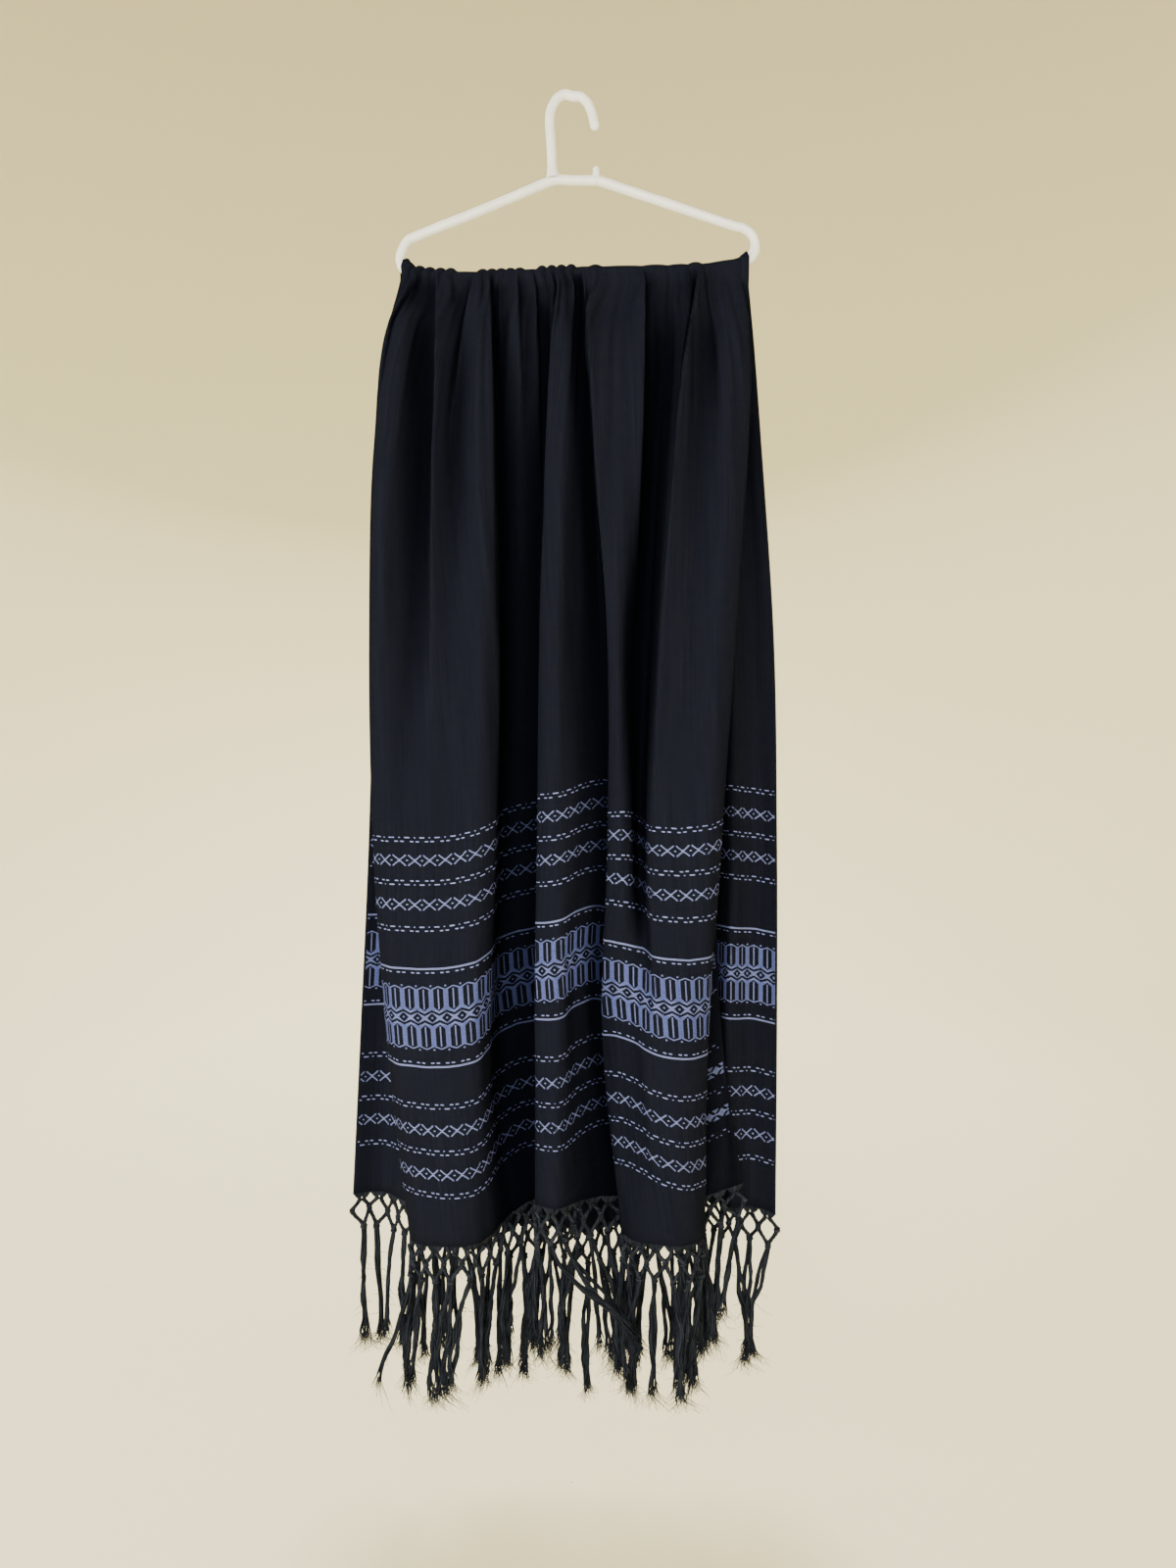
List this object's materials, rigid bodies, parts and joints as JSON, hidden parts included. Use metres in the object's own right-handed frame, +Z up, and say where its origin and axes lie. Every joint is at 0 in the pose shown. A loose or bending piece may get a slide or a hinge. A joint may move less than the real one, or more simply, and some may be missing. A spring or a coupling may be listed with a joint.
{
  "type": "rebozo shawl on hanger",
  "caption": "Long woven shawl with banded ends and knotted fringe, folded over the lower bar of a tubular clothes hanger in two hanging falls.",
  "frame": {"origin": "top of the inside of the hanger's hook, where it rests on a rail or wall hook", "axes": "+Z up, -Y the front, +X to the right as seen from the front"},
  "size_m": [0.5062, 0.1472, 1.5046],
  "materials": {
    "white_plastic": "smooth moulded white plastic with a soft gloss",
    "black_cloth": "fine black woven cloth with bands of pale periwinkle supplementary weft at both ends",
    "black_cord": "twisted black threads, knotted and frayed"
  },
  "bodies": {
    "root": {"hanger_frame": "white_plastic", "hanger_hook": "white_plastic", "cloth_front": "black_cloth", "cloth_back": "black_cloth", "fringe_front": "black_cord", "fringe_back": "black_cord"}
  },
  "joints": []
}
